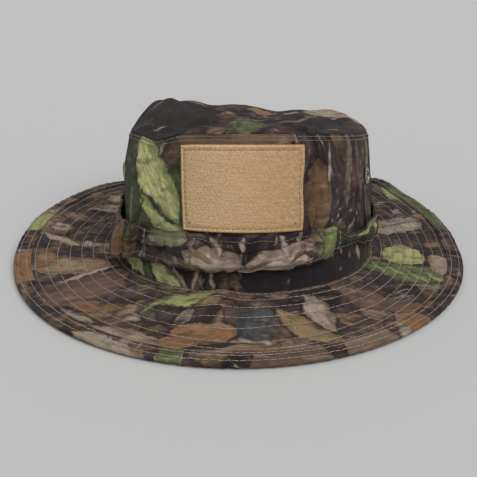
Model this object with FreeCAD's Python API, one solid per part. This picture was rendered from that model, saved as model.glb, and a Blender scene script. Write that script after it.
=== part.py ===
"""Boonie hat: a soft crown on a wide, stitched brim, resting on its brim.

Millimetres and degrees. +Z is up, the front of the hat faces -Y, and +X is to the right in a front view.
The origin is the centre of the brim on the surface that the hat rests on.
Angles round the hat run from 0 at the front, through 90 at +X, to 180 at the back.
"""
import FreeCAD, Part
import math
import os

Vector = FreeCAD.Vector

# ---- the brim ----
BRIM_HALF_WIDTH = 144.0        # centre to edge, along X
BRIM_HALF_LENGTH = 162.0       # centre to edge, along Y
EDGE_RISE = 10.0               # how far the edge lifts between the sides and the back
RISE_START = 72.0              # the lift begins at this angle, each side
FALL_START = 137.0             # and ends from this angle
RISE_RUN = 28.0                # each slope of the lift takes this many degrees
CLOTH = 0.6                    # one layer of cloth
INTERLINING = 0.6              # the stiff layer inside the brim
PLY_GAP = 0.05                 # air between two layers
BINDING_WIDTH = 9.5            # the folded strip on the brim's edge
STITCH_ROWS = 8                # rings of thread between crown and binding
FIRST_ROW_SHARE = 0.025        # of the brim's width, from the crown
LAST_ROW_SHARE = 0.81

# ---- the crown ----
BASE_HALF_WIDTH = 83.0         # outer face of the wall where it meets the brim
BASE_HALF_LENGTH = 98.5
TOP_HALF_WIDTH = 73.5          # outer face of the wall at the top seam
TOP_HALF_LENGTH = 90.0
WALL_BULGE = 1.5               # how far the wall stands out between its two ends
CROWN_OFFSET = 3.5             # the crown sits this far towards +X on the brim
CROWN_LEAN = 2.0               # and its top this much further
SEAM_HEIGHT_SIDE = 5.0         # top of the brim at the crown, at the sides
SEAM_HEIGHT_FRONT = 11.0       # and at the front and back
TOP_HEIGHT_SIDE = 80.0         # the top seam is lower at the sides and back
TOP_CURVE = 1.3                # nearer 1, the front's height carries further round to the sides
TOP_HEIGHT_FRONT = 97.5
TOP_HEIGHT_BACK = 75.0
BACK_LEFT_LIFT = 10.5          # the seam stands up again in a soft hump at the back left
BACK_LEFT_ANGLE = -128.0       # the hump's middle
BACK_LEFT_RUN = 38.0           # degrees from its middle to its foot
WALL = 1.0                     # crown cloth with its seam allowances
TIP_CENTRE_HEIGHT = 85.0       # the flat middle of the top panel
TIP_FLAT_SHARE = 0.3           # how much of the panel's radius is flat
TIP_CREST = 1.5                # how far the panel swells between middle and seam

# ---- what is on and in the crown ----
PANEL_CENTRE = -1.3            # angle of the loop panel's middle
PANEL_HALF_ANGLE = 24.2
PANEL_BOTTOM_SHARE = 0.40      # of the wall's height
PANEL_TOP_SHARE = 0.94
PANEL_THICK = 1.8
PANEL_STITCH_INSET = 3.0
BAND_BOTTOM = 12.0             # above the brim seam
BAND_HEIGHT = 21.0
BAND_TACKS = (-98, -43, -20, 29, 38, 82, 118, 152, 188, 225)
BAND_STANDOFFS = (9.0, 3.0, 4.0, 1.5, 8.0, 3.0, 3.0, 3.0, 3.0, 3.0)
SWEATBAND_HEIGHT = 30.0
SEAM_TAPE_HEIGHT = 10.0
VENT_ANGLES = {"right_front": 66, "right_back": 111, "left_front": -80, "left_back": -125}
VENT_HEIGHT_SHARE = 0.68
VENT_HOLE_RADIUS = 2.6
VENT_BARREL = 0.4
VENT_FLANGE_RADIUS = 5.2
VENT_FLANGE = 0.5

# ---- thread ----
THREAD_WIDTH = 0.5
THREAD_HEIGHT = 0.3
THREAD_LIFT = 0.05             # a row lies this far off the cloth under it
ROUND_POINTS = 48              # points on a smooth ring
BAND_POINTS = 180              # points on the band, which has many short loops


def smooth(share):
    """0 to 1 with level ends."""
    share = min(max(share, 0.0), 1.0)
    return share * share * (3 - 2 * share)


def cosine(angle):
    return math.cos(math.radians(angle))


def sine(angle):
    return math.sin(math.radians(angle))


# ---- heights and places round the hat ----

def seam_height(angle):
    """Top of the brim where it meets the crown."""
    return SEAM_HEIGHT_SIDE + (SEAM_HEIGHT_FRONT - SEAM_HEIGHT_SIDE) * cosine(angle) ** 2


def top_height(angle):
    """The top seam of the crown."""
    end = TOP_HEIGHT_FRONT if cosine(angle) > 0 else TOP_HEIGHT_BACK
    from_hump = abs((angle - BACK_LEFT_ANGLE + 180) % 360 - 180)
    hump = BACK_LEFT_LIFT * smooth(1 - from_hump / BACK_LEFT_RUN)
    return TOP_HEIGHT_SIDE + (end - TOP_HEIGHT_SIDE) * abs(cosine(angle)) ** TOP_CURVE + hump


def edge_height(angle):
    """Underside of the brim's edge: on the surface, except behind the sides."""
    turn = abs((angle + 180) % 360 - 180)
    rise = smooth((turn - RISE_START) / RISE_RUN)
    fall = smooth((turn - FALL_START) / RISE_RUN)
    return EDGE_RISE * (rise - fall)


def wall_point(angle, share, out=0.0, up=0.0):
    """A point on the crown's outer face, a share of the way from the brim seam to the top seam."""
    bulge = WALL_BULGE * math.sin(math.pi * share) + out
    half_width = BASE_HALF_WIDTH + (TOP_HALF_WIDTH - BASE_HALF_WIDTH) * share + bulge
    half_length = BASE_HALF_LENGTH + (TOP_HALF_LENGTH - BASE_HALF_LENGTH) * share + bulge
    height = seam_height(angle) + (top_height(angle) - seam_height(angle)) * share + up
    centre = CROWN_OFFSET + CROWN_LEAN * share
    return Vector(centre + half_width * sine(angle), -half_length * cosine(angle), height)


def share_above_seam(angle, height):
    """The share of the wall's height at a distance above the brim seam."""
    return height / (top_height(angle) - seam_height(angle))


BRIM_THICK = 2 * CLOTH + INTERLINING + 2 * PLY_GAP
EDGE_TOP = CLOTH + PLY_GAP + BRIM_THICK       # the brim's upper face above the edge's underside


def brim_point(angle, share, drop=0.0):
    """A point on the brim's upper face, a share of the way from crown to edge, lowered by drop."""
    inner = wall_point(angle, 0, PLY_GAP)
    outer = Vector(BRIM_HALF_WIDTH * sine(angle), -BRIM_HALF_LENGTH * cosine(angle), 0)
    fall = smooth(share)
    height = seam_height(angle) * (1 - fall) + (edge_height(angle) + EDGE_TOP) * fall
    place = inner + (outer - inner) * share
    return Vector(place.x, place.y, height - drop)


# ---- solids ----

def round_angles(count=ROUND_POINTS):
    return [360.0 * step / count for step in range(count)]


def arc_angles(first, last):
    count = max(4, int(abs(last - first) / 7.5))
    return [first + (last - first) * step / count for step in range(count + 1)]


def ring_solid(rows, count=ROUND_POINTS):
    """A closed ring. rows are the corners of its section, each a function of the angle."""
    edges = []
    for row in rows:
        curve = Part.BSplineCurve()
        curve.interpolate([row(angle) for angle in round_angles(count)], PeriodicFlag=True)
        edges.append(curve.toShape())
    faces = [Part.makeRuledSurface(edges[i - 1], edges[i]) for i in range(len(edges))]
    return Part.Solid(Part.Shell(faces))


def arc_solid(rows, first, last):
    """Part of a ring, closed by a flat face at each end."""
    edges = []
    for row in rows:
        curve = Part.BSplineCurve()
        curve.interpolate([row(angle) for angle in arc_angles(first, last)])
        edges.append(curve.toShape())
    faces = [Part.makeRuledSurface(edges[i - 1], edges[i]) for i in range(len(edges))]
    for end in (0, 1):
        corners = [edge.Vertexes[end].Point for edge in edges]
        faces.append(Part.makeFilledFace(Part.makePolygon(corners + corners[:1]).Edges))
    shell = Part.Compound(faces)
    shell.sewShape()
    return Part.Solid(shell)


def section(outer, inner):
    """The corners of a section: along its outer face, then back along its inner face."""
    return outer + inner[::-1]


def wall_rows(shares, out):
    return [lambda angle, s=share: wall_point(angle, s, out) for share in shares]


def brim_rows(shares, drop):
    return [lambda angle, s=share: brim_point(angle, s, drop) for share in shares]


def brim_thread(share, lift):
    """A ring of thread lying on the brim."""
    half = THREAD_WIDTH / 2 / (BRIM_HALF_WIDTH - BASE_HALF_WIDTH)
    shares = [share - half, share + half]
    return ring_solid(section(brim_rows(shares, -lift - THREAD_HEIGHT), brim_rows(shares, -lift)))


def wall_thread(below_top):
    """A ring of thread on the crown, a distance below the top seam."""
    def row(angle, out, down):
        share = 1 - share_above_seam(angle, below_top + down)
        return wall_point(angle, share, out)
    low, high = THREAD_LIFT, THREAD_LIFT + THREAD_HEIGHT
    return ring_solid([
        lambda angle: row(angle, high, 0),
        lambda angle: row(angle, high, THREAD_WIDTH),
        lambda angle: row(angle, low, THREAD_WIDTH),
        lambda angle: row(angle, low, 0),
    ])


# ---- the crown ----

def vent_placement(angle):
    """Origin on the wall's outer face, Z along its outward normal."""
    here = wall_point(angle, VENT_HEIGHT_SHARE)
    along = wall_point(angle + 1, VENT_HEIGHT_SHARE) - wall_point(angle - 1, VENT_HEIGHT_SHARE)
    upward = wall_point(angle, VENT_HEIGHT_SHARE + 0.05) - wall_point(angle, VENT_HEIGHT_SHARE - 0.05)
    return here, along.cross(upward).normalize()


def turned(angle, profile):
    """A profile of (radius, height) corners turned about a vent's axis."""
    here, outward = vent_placement(angle)
    wire = Part.makePolygon([Vector(radius, 0, height) for radius, height in profile + profile[:1]])
    solid = Part.Face(wire).revolve(Vector(0, 0, 0), Vector(0, 0, 1), 360)
    solid.Placement = FreeCAD.Placement(here, FreeCAD.Rotation(Vector(0, 0, 1), outward))
    return solid


def vent_eyelet(angle):
    """A flange outside the wall and a barrel through it."""
    lift = 0.2
    barrel = VENT_HOLE_RADIUS + VENT_BARREL
    return turned(angle, [
        (VENT_HOLE_RADIUS, -WALL - VENT_FLANGE),
        (barrel, -WALL - VENT_FLANGE),
        (barrel, lift),
        (VENT_FLANGE_RADIUS, lift),
        (VENT_FLANGE_RADIUS - 0.3, lift + VENT_FLANGE),
        (VENT_HOLE_RADIUS, lift + VENT_FLANGE),
    ])


def vent_washer(angle):
    """The washer on the inside of the wall."""
    inner = VENT_HOLE_RADIUS + VENT_BARREL + PLY_GAP
    lift = -WALL - 0.3
    return turned(angle, [
        (inner, lift - VENT_FLANGE),
        (VENT_FLANGE_RADIUS, lift - VENT_FLANGE),
        (VENT_FLANGE_RADIUS, lift),
        (inner, lift),
    ])


def crown_wall():
    """The side of the crown, down through the brim, with a hole for each vent."""
    shares = (0, 0.3, 0.6, 1)

    def foot(out):
        return [lambda angle: wall_point(angle, 0, out, -BRIM_THICK)]

    outer = foot(0) + wall_rows(shares, 0)
    inner = foot(-WALL) + wall_rows(shares, -WALL)
    wall = ring_solid(section(outer, inner))
    for angle in VENT_ANGLES.values():
        here, outward = vent_placement(angle)
        radius = VENT_HOLE_RADIUS + VENT_BARREL + PLY_GAP
        wall = wall.cut(Part.makeCylinder(radius, 8, here - outward * 4, outward))
    return wall.Solids[0]


def tip_point(angle, share, lift):
    """A point on the top panel: share is 1 at the seam and 0 in the middle."""
    out = (share - TIP_FLAT_SHARE) / (1 - TIP_FLAT_SHARE)
    crest = TIP_CREST * math.sin(math.pi * out) * smooth(2 * out)
    height = TIP_CENTRE_HEIGHT + (top_height(angle) - TIP_CENTRE_HEIGHT) * smooth(out) + crest
    centre = CROWN_OFFSET + CROWN_LEAN
    return Vector(centre + TOP_HALF_WIDTH * share * sine(angle),
                  -TOP_HALF_LENGTH * share * cosine(angle), height + lift)


def crown_tip():
    """The top panel, a thin dished sheet that lies on the top of the wall."""
    shares = (1, 0.9, 0.75, 0.6, 0.45, TIP_FLAT_SHARE)
    faces = []
    rims = []
    for lift in (PLY_GAP, PLY_GAP + CLOTH):
        edges = []
        for share in shares:
            points = [tip_point(angle, share, lift) for angle in round_angles()]
            curve = Part.BSplineCurve()
            curve.interpolate(points, PeriodicFlag=True)
            edges.append(curve.toShape())
        faces += [Part.makeRuledSurface(edges[i], edges[i + 1]) for i in range(len(edges) - 1)]
        faces.append(Part.Face(Part.Wire(edges[-1])))
        rims.append(edges[0])
    faces.append(Part.makeRuledSurface(rims[0], rims[1]))
    shell = Part.Compound(faces)
    shell.sewShape()
    return Part.Solid(shell)


def inner_tape(low_row, high_row, thick, clear):
    """A strip lying against the inside of the wall."""
    far = -WALL - clear - thick
    near = -WALL - clear
    return ring_solid([
        lambda angle: low_row(angle, near),
        lambda angle: high_row(angle, near),
        lambda angle: high_row(angle, far),
        lambda angle: low_row(angle, far),
    ])


def crown_seam_tape():
    return inner_tape(
        lambda angle, out: wall_point(angle, 1 - share_above_seam(angle, SEAM_TAPE_HEIGHT), out),
        lambda angle, out: wall_point(angle, 1, out, -0.3), CLOTH, 0.15)


def sweatband():
    return inner_tape(
        lambda angle, out: wall_point(angle, 0, out, -BRIM_THICK),
        lambda angle, out: wall_point(angle, share_above_seam(angle, SWEATBAND_HEIGHT), out),
        0.8, 0.4)


def sweatband_stitching():
    """One row near the sweatband's lower edge, on its inner face."""
    high = -WALL - 0.4 - 0.8 - THREAD_LIFT
    low = high - THREAD_HEIGHT
    return ring_solid([
        lambda angle: wall_point(angle, 0, high, 1.0),
        lambda angle: wall_point(angle, 0, high, 1.0 + THREAD_WIDTH),
        lambda angle: wall_point(angle, 0, low, 1.0 + THREAD_WIDTH),
        lambda angle: wall_point(angle, 0, low, 1.0),
    ])


def plate(first, last, bottom, top, near, far):
    """A curved plate on the wall between two angles and two heights, each height a share function."""
    return arc_solid([
        lambda angle: wall_point(angle, bottom(angle), near),
        lambda angle: wall_point(angle, top(angle), near),
        lambda angle: wall_point(angle, top(angle), far),
        lambda angle: wall_point(angle, bottom(angle), far),
    ], first, last)


def crown_back_stitching():
    """Two upright rows either side of the back seam."""
    rows = []
    for angle in (178.4, 181.6):
        rows.append(plate(angle - 0.15, angle + 0.15, lambda a: 0.04, lambda a: 0.9,
                          THREAD_LIFT, THREAD_LIFT + THREAD_HEIGHT))
    return Part.Compound(rows)


def loop_panel():
    return plate(PANEL_CENTRE - PANEL_HALF_ANGLE, PANEL_CENTRE + PANEL_HALF_ANGLE,
                 lambda a: PANEL_BOTTOM_SHARE, lambda a: PANEL_TOP_SHARE, 0.1, 0.1 + PANEL_THICK)


def loop_panel_stitching():
    """Four runs of thread inside the panel's edges and a tack in each lower corner."""
    near = 0.1 + PANEL_THICK + THREAD_LIFT
    far = near + THREAD_HEIGHT
    tall = TOP_HEIGHT_FRONT - SEAM_HEIGHT_FRONT
    inset = PANEL_STITCH_INSET / tall
    thread = THREAD_WIDTH / tall
    side = math.degrees(PANEL_STITCH_INSET / BASE_HALF_WIDTH)
    thread_angle = math.degrees(THREAD_WIDTH / BASE_HALF_WIDTH)
    low = PANEL_BOTTOM_SHARE + inset
    high = PANEL_TOP_SHARE - inset
    left = PANEL_CENTRE - PANEL_HALF_ANGLE + side
    right = PANEL_CENTRE + PANEL_HALF_ANGLE - side
    runs = []
    for share in (low, high):
        runs.append(plate(left, right, lambda a, s=share: s, lambda a, s=share: s + thread, near, far))
    gap = 3 * thread
    for angle in (left, right):
        runs.append(plate(angle - thread_angle, angle, lambda a: low + gap, lambda a: high - gap, near, far))
    for angle in (left + 1.5, right - 2.5):
        runs.append(plate(angle, angle + 1, lambda a: low + gap, lambda a: low + 2 * gap, near, far))
    return Part.Compound(runs)


# ---- the foliage band ----

BAND_LIFT = 0.5                # the band's inner face off the wall at a tack


def band_standoff(angle):
    """How far the band's inner face is off the wall: near at each tack and out between them."""
    starts = list(BAND_TACKS)
    ends = starts[1:] + [starts[0] + 360]
    for start, end, height in zip(starts, ends, BAND_STANDOFFS):
        turn = (angle - start) % 360
        if turn <= end - start:
            return BAND_LIFT + (height - BAND_LIFT) * math.sin(math.pi * turn / (end - start)) ** 2
    return BAND_LIFT


def band_point(angle, height, extra):
    share = share_above_seam(angle, height)
    return wall_point(angle, share, band_standoff(angle) + extra)


def foliage_band():
    top = BAND_BOTTOM + BAND_HEIGHT
    return ring_solid([
        lambda angle: band_point(angle, BAND_BOTTOM, 0),
        lambda angle: band_point(angle, top, 0),
        lambda angle: band_point(angle, top, 2 * CLOTH),
        lambda angle: band_point(angle, BAND_BOTTOM, 2 * CLOTH),
    ], BAND_POINTS)


def foliage_band_tacks():
    """An upright bar of thread over the band at each place where it is sewn down."""
    inset = 1.5
    near = BAND_LIFT + 2 * CLOTH + 0.25
    bars = []
    for angle in BAND_TACKS:
        bars.append(plate(
            angle - 0.4, angle + 0.4,
            lambda a: share_above_seam(a, BAND_BOTTOM + inset),
            lambda a: share_above_seam(a, BAND_BOTTOM + BAND_HEIGHT - inset), near, near + 0.5))
    return Part.Compound(bars)


# ---- the brim ----

BRIM_SHARES = (0, 0.25, 0.5, 0.75, 0.985)


def brim_layer(top_drop, thick, first=None, last=None):
    """One layer of the brim, all the way round or between two angles."""
    rows = section(brim_rows(BRIM_SHARES, top_drop), brim_rows(BRIM_SHARES, top_drop + thick))
    if first is None:
        return ring_solid(rows)
    return arc_solid(rows, first, last)


def brim_edge_binding():
    """A strip folded round the edge: over the upper cloth, round, and under the lower cloth."""
    width = BINDING_WIDTH / (BRIM_HALF_WIDTH - BASE_HALF_WIDTH)
    inner = 1 - width
    top = -PLY_GAP - CLOTH
    low = BRIM_THICK + PLY_GAP
    return ring_solid(
        brim_rows((inner, 0.995), top)
        + brim_rows((1.0,), top + CLOTH)
        + brim_rows((1.0,), low)
        + brim_rows((0.995, inner), low + CLOTH)
        + brim_rows((inner,), low)
        + brim_rows((0.99,), low)
        + brim_rows((0.99, inner), -PLY_GAP))


def brim_stitch_rows():
    """The quilting rings, evenly spaced from the crown to the binding."""
    rows = {}
    for number in range(STITCH_ROWS):
        step = number / (STITCH_ROWS - 1)
        share = FIRST_ROW_SHARE + (LAST_ROW_SHARE - FIRST_ROW_SHARE) * step
        rows["brim_stitch_row_%d" % (number + 1)] = brim_thread(share, THREAD_LIFT)
    return rows


def build():
    nodes = {
        "crown_tip": crown_tip(),
        "crown_wall": crown_wall(),
        "crown_seam_tape": crown_seam_tape(),
        "crown_topstitch_upper": wall_thread(1.5),
        "crown_topstitch_lower": wall_thread(4.0),
        "crown_back_stitching": crown_back_stitching(),
        "sweatband": sweatband(),
        "sweatband_stitching": sweatband_stitching(),
        "loop_panel": loop_panel(),
        "loop_panel_stitching": loop_panel_stitching(),
        "foliage_band": foliage_band(),
        "foliage_band_tacks": foliage_band_tacks(),
        "brim_upper_front": brim_layer(0, CLOTH, -90, 90),
        "brim_upper_back": brim_layer(0, CLOTH, 90, 270),
        "brim_interlining": brim_layer(CLOTH + PLY_GAP, INTERLINING),
        "brim_lower_front": brim_layer(BRIM_THICK - CLOTH, CLOTH, -90, 90),
        "brim_lower_back": brim_layer(BRIM_THICK - CLOTH, CLOTH, 90, 270),
        "brim_edge_binding": brim_edge_binding(),
        "binding_stitch_inner": brim_thread(0.885, PLY_GAP + CLOTH + THREAD_LIFT),
        "binding_stitch_outer": brim_thread(0.965, PLY_GAP + CLOTH + THREAD_LIFT),
    }
    nodes.update(brim_stitch_rows())
    for place, angle in VENT_ANGLES.items():
        nodes["vent_eyelet_" + place] = vent_eyelet(angle)
        nodes["vent_washer_" + place] = vent_washer(angle)
    return nodes


def main():
    os.makedirs("parts", exist_ok=True)
    for name, shape in build().items():
        print("%-28s valid %s  solids %d  volume %.0f mm3" % (
            name, shape.isValid(), len(shape.Solids), shape.Volume))
        shape.exportStep("parts/%s.step" % name)


main()
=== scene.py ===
"""Looks of the boonie hat: printed cloth, quilting, a pile panel and a foliage band.

Lengths are millimetres until a mesh is made, and cloth coordinates stay in millimetres.
Angles run in degrees from 0 at the front, through 90 at +X, to 180 at the back.
"""

import math

import bpy
import numpy as np
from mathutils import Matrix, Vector


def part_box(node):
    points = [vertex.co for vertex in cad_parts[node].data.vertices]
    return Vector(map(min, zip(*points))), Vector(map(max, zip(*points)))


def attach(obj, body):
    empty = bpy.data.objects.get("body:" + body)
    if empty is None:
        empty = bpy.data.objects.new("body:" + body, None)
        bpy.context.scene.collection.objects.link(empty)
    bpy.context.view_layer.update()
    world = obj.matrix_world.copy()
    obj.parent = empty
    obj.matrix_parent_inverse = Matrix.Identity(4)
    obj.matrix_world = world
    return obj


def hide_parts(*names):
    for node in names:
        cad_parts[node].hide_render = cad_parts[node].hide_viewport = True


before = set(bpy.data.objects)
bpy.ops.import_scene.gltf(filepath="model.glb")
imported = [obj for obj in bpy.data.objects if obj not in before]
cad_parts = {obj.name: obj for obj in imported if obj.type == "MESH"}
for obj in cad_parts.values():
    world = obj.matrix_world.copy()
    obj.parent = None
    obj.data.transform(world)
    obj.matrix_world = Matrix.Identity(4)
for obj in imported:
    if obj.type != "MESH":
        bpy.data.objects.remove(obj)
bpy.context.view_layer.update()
MM = 0.001
WHOLE_TURN = 2 * math.pi

# ---- sizes shared with the CAD ----
low_corner, high_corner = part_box("brim_edge_binding")
BRIM_HALF_WIDTH = (high_corner.x - low_corner.x) / 2 / MM
BRIM_HALF_LENGTH = (high_corner.y - low_corner.y) / 2 / MM
BASE_HALF_WIDTH, BASE_HALF_LENGTH = 83.0, 98.5
TOP_HALF_WIDTH, TOP_HALF_LENGTH = 73.5, 90.0
WALL_BULGE = 1.5
CROWN_OFFSET, CROWN_LEAN = 3.5, 2.0
SEAM_SIDE, SEAM_FRONT = 5.0, 11.0
TOP_SIDE, TOP_FRONT, TOP_BACK, TOP_CURVE = 80.0, 97.5, 75.0, 1.3
HUMP_HEIGHT, HUMP_ANGLE, HUMP_RUN = 10.5, -128.0, 38.0
TIP_CENTRE, TIP_FLAT = 85.0, 0.3
CLOTH, GAP, WALL = 0.6, 0.05, 1.0
BRIM_THICK = 3 * CLOTH + 2 * GAP
EDGE_TOP = CLOTH + GAP + BRIM_THICK
BRIM_WIDTH = BRIM_HALF_WIDTH - BASE_HALF_WIDTH
BINDING_SHARE = 1 - 9.5 / BRIM_WIDTH     # the binding covers the last 9.5 mm
BINDING_ROWS = (("inner", 0.885), ("outer", 0.965))
CLOTH_END = 0.985                         # share where the cloths stop, inside the binding
ROW_SHARES = np.linspace(0.025, 0.81, 8)  # the quilting rings
ROW_DEPTH, ROW_REACH = 0.38, 0.9          # how a ring draws the cloth in
PANEL_LEFT, PANEL_RIGHT = -24.9, 21.8     # at the panel's lower edge
LEFT_LEAN, RIGHT_LEAN = 3.8, 1.1          # degrees its sides lean out by at its top
PANEL_WIDTH, PANEL_HEIGHT = 69.0, 47.0
PANEL_LOW, PANEL_HIGH = 0.40, 0.94
PANEL_THICK, PANEL_NEAR = 1.8, 0.1         # and its back face from the wall
BAND_TACKS = (-98, -43, -20, 29, 38, 82, 118, 152, 188, 225)
VENTS = {"right_front": 66, "right_back": 111, "left_front": -80, "left_back": -125}
VENT_SHARE = 0.68
VENT_HOLE = 2.6
TOP_ROWS = (("upper", 0.9), ("lower", 2.8))   # below the top seam
BACK_ROWS = (178.4, 181.6)                    # angles beside the back seam
BAND_MIDDLE, BAND_HALF = 22.5, 10.5           # the strip lying flat
BAND_HEM = 0.74
PANEL_INSET = 2.4                             # stitches, from the panel's edge
PANEL_TACK = 0.014                            # half a tack's length, as a share of the panel's width

# The top seam's own ups and downs: angle, reach either way, height.
TOP_WAVES = ((-45, 11, -3.4), (-122, 8, 1.0), (-133, 9, -2.6), (-152, 11, 1.0), (188, 12, 2.0),
             (162, 9, -2.7), (112, 14, 1.3))

# How far the brim's edge lifts off the table: angle, height.
EDGE_LIFT = ((-180, 0), (-152, 2.5), (-128, 7.5), (-100, 7), (-92, 5), (-80, 3), (-64, 0), (66, 0), (84, 1),
             (95, 4), (106, 6.5), (117, 8.5), (128, 13), (142, 8), (160, 1.5))

# The band: angle, middle above the seam, half height, gap to the wall, ledge, belly, tilt, crease.
BAND_SHAPE = (
    (-98, 22.0, 10.0, 0.5, 0.0, 0.0, 0, 0.0),
    (-81, 21.5, 10.0, 1.2, 0.0, 0.4, 0, 0.0),
    (-71, 20.0, 10.5, 4.6, 0.0, 1.8, -8, 0.0),
    (-63, 19.2, 11.0, 7.0, 0.0, 2.4, -14, 0.0),
    (-54, 21.0, 10.8, 5.6, -1.4, 1.4, -6, 0.0),
    (-46, 23.0, 10.2, 3.4, -2.6, 0.5, 0, -0.1),
    (-35, 23.0, 10.2, 3.4, -2.8, 0.6, 0, -0.1),
    (-27, 23.2, 10.2, 2.4, 1.0, 0.4, 0, 0.5),
    (-20, 23.0, 10.0, 1.0, 4.4, 0.5, 0, 0.5),
    (-12, 22.8, 9.6, 0.8, 5.6, 0.6, 0, 0.15),
    (-2, 23.2, 9.0, 0.8, 6.0, 0.5, 0, -0.2),
    (8, 23.6, 8.8, 0.8, 5.6, 0.6, 0, -0.1),
    (19, 23.8, 9.4, 0.8, 4.6, 0.9, 0, 0.2),
    (27, 25.2, 9.2, 1.4, 3.4, 1.2, 0, 0.5),
    (32, 26.6, 8.8, 3.4, 1.0, 1.6, 4, 0.5),
    (38, 25.5, 7.2, 1.6, 0.0, 1.8, 10, 0.0),
    (43, 24.2, 4.6, 2.2, 0.0, 2.4, 24, 0.0),
    (49, 23.6, 4.0, 3.0, 0.0, 2.6, 30, 0.0),
    (55, 23.6, 7.6, 3.8, 0.0, 2.2, 18, 0.0),
    (62, 24.4, 10.0, 4.2, 1.6, 1.0, 12, 0.3),
    (69, 21.6, 8.4, 3.4, 1.4, 0.6, 6, 0.3),
    (76, 19.0, 6.6, 1.8, 0.6, 0.4, 0, 0.2),
    (86, 20.0, 8.4, 0.6, 0.0, 0.2, 0, 0.1),
    (100, 21.5, 10.5, 0.6, 0.0, 0.0, 0, 0.1),
    (118, 22.5, 10.0, 0.6, 0.0, 0.0, 0, 0.0),
    (135, 21.5, 10.5, 2.8, 1.5, 1.0, 3, -0.2),
    (152, 22.5, 10.0, 0.7, 0.0, 0.0, 0, 0.0),
    (170, 21.5, 10.5, 2.4, 2.5, 1.0, -3, 0.2),
    (188, 22.5, 10.0, 0.7, 0.0, 0.0, 0, 0.0),
    (206, 21.5, 10.5, 2.8, 1.5, 1.0, 4, 0.0),
    (225, 22.5, 10.0, 0.6, 0.0, 0.0, 0, 0.0),
    (244, 21.5, 10.5, 0.6, 0.0, 0.0, 0, 0.1),
)


# ---- small maths ----

def smooth(value):
    """0 to 1 with level ends."""
    value = np.clip(value, 0.0, 1.0)
    return value * value * (3 - 2 * value)


def turn(angle, about=0.0):
    """How far one angle is from another, from -180 to 180."""
    return (angle - about + 180) % 360 - 180


def sine(angle):
    return np.sin(np.radians(angle))


def cosine(angle):
    return np.cos(np.radians(angle))


def together(*values):
    """The values as float arrays of one shape."""
    return np.broadcast_arrays(*(np.asarray(value, float) for value in values))


def bump_at(angle, about, run):
    """1 at an angle, falling to 0 on each side."""
    return np.exp(-(turn(angle, about) / run) ** 2)


def hill(x, y, rise, centre, reach):
    """A smooth rise about a centre, or a dent where rise is negative."""
    return rise * np.exp(-((x - centre[0]) / reach[0]) ** 2 - ((y - centre[1]) / reach[1]) ** 2)


def ripple(x, y, z, size, seed):
    """Soft wrinkles about size across: seven sine waves in seeded directions."""
    rng = np.random.default_rng(seed)
    total = 0.0
    for _ in range(7):
        heading = rng.normal(size=3)
        heading = heading / np.linalg.norm(heading)
        pace = WHOLE_TURN / size * rng.uniform(0.6, 1.5)
        total = total + np.sin(pace * (x * heading[0] + y * heading[1] + z * heading[2])
                               + rng.uniform(0, WHOLE_TURN))
    return total / math.sqrt(7)


def pucker(angle, share, seed, low=50, high=120):
    """Short waves that run round the hat and shift from row to row."""
    rng = np.random.default_rng(seed)
    total = 0.0
    for _ in range(6):
        waves = int(rng.integers(low, high))
        phase = rng.uniform(0, WHOLE_TURN) + share * rng.uniform(20, 60)
        total = total + np.sin(waves * np.radians(angle) + phase)
    return total / math.sqrt(6)


# ---- the surfaces of the hat ----

def seam_height(angle):
    return SEAM_SIDE + (SEAM_FRONT - SEAM_SIDE) * cosine(angle) ** 2


def top_height(angle):
    end = np.where(cosine(angle) > 0, TOP_FRONT, TOP_BACK)
    hump = HUMP_HEIGHT * smooth(1 - np.abs(turn(angle, HUMP_ANGLE)) / HUMP_RUN)
    waves = sum(rise * bump_at(angle, about, run) for about, run, rise in TOP_WAVES)
    return TOP_SIDE + (end - TOP_SIDE) * np.abs(cosine(angle)) ** TOP_CURVE + hump + waves


def eased(keys, angle):
    """Columns of a table of rows round the hat, whose first column is the angle, eased between rows."""
    keys = np.array(keys, float)
    again = keys[:1].copy()
    again[0, 0] += 360
    keys = np.vstack([keys, again])
    place = (np.asarray(angle, float) - keys[0, 0]) % 360 + keys[0, 0]
    after = np.clip(np.searchsorted(keys[:, 0], place, side="right"), 1, len(keys) - 1)
    share = smooth((place - keys[after - 1, 0]) / (keys[after, 0] - keys[after - 1, 0]))
    columns = keys.T[1:]
    return [column[after - 1] + (column[after] - column[after - 1]) * share for column in columns]


def edge_height(angle):
    return eased(EDGE_LIFT, angle)[0]


def share_above(angle, height):
    return height / (top_height(angle) - seam_height(angle))


def wall_point(angle, share, out=0.0, up=0.0):
    """On the crown's outer face. The sides are slack, and the top turns in over a soft shoulder."""
    angle, share = together(angle, share)
    slack = smooth((np.abs(turn(angle)) - 24) / 22) * np.sin(math.pi * np.clip(share, 0, 1))
    folds = 1.1 * ripple(90 * sine(angle), 90 * cosine(angle), 60 * share, 34, 3)
    fine = 0.4 * ripple(90 * sine(angle), 90 * cosine(angle), 50 * share, 16, 4)
    # The right side is full near its top, and the left side is pulled in lower down.
    full = 1.8 * bump_at(angle, 85, 30) * smooth((share - 0.5) / 0.4)
    shoulder = full - 0.9 * smooth((share - 0.955) / 0.045)
    tucked = 5.0 * bump_at(angle, -97, 30) * smooth(share / 0.2) * smooth((0.8 - share) / 0.5)
    swell = WALL_BULGE * np.sin(math.pi * share) + slack * (folds + fine) + shoulder - tucked + out
    half_width = BASE_HALF_WIDTH + (TOP_HALF_WIDTH - BASE_HALF_WIDTH) * share + swell
    half_length = BASE_HALF_LENGTH + (TOP_HALF_LENGTH - BASE_HALF_LENGTH) * share + swell
    height = seam_height(angle) + (top_height(angle) - seam_height(angle)) * share + up
    centre = CROWN_OFFSET + CROWN_LEAN * share
    return np.stack([centre + half_width * sine(angle), -half_length * cosine(angle), height], -1)


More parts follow.
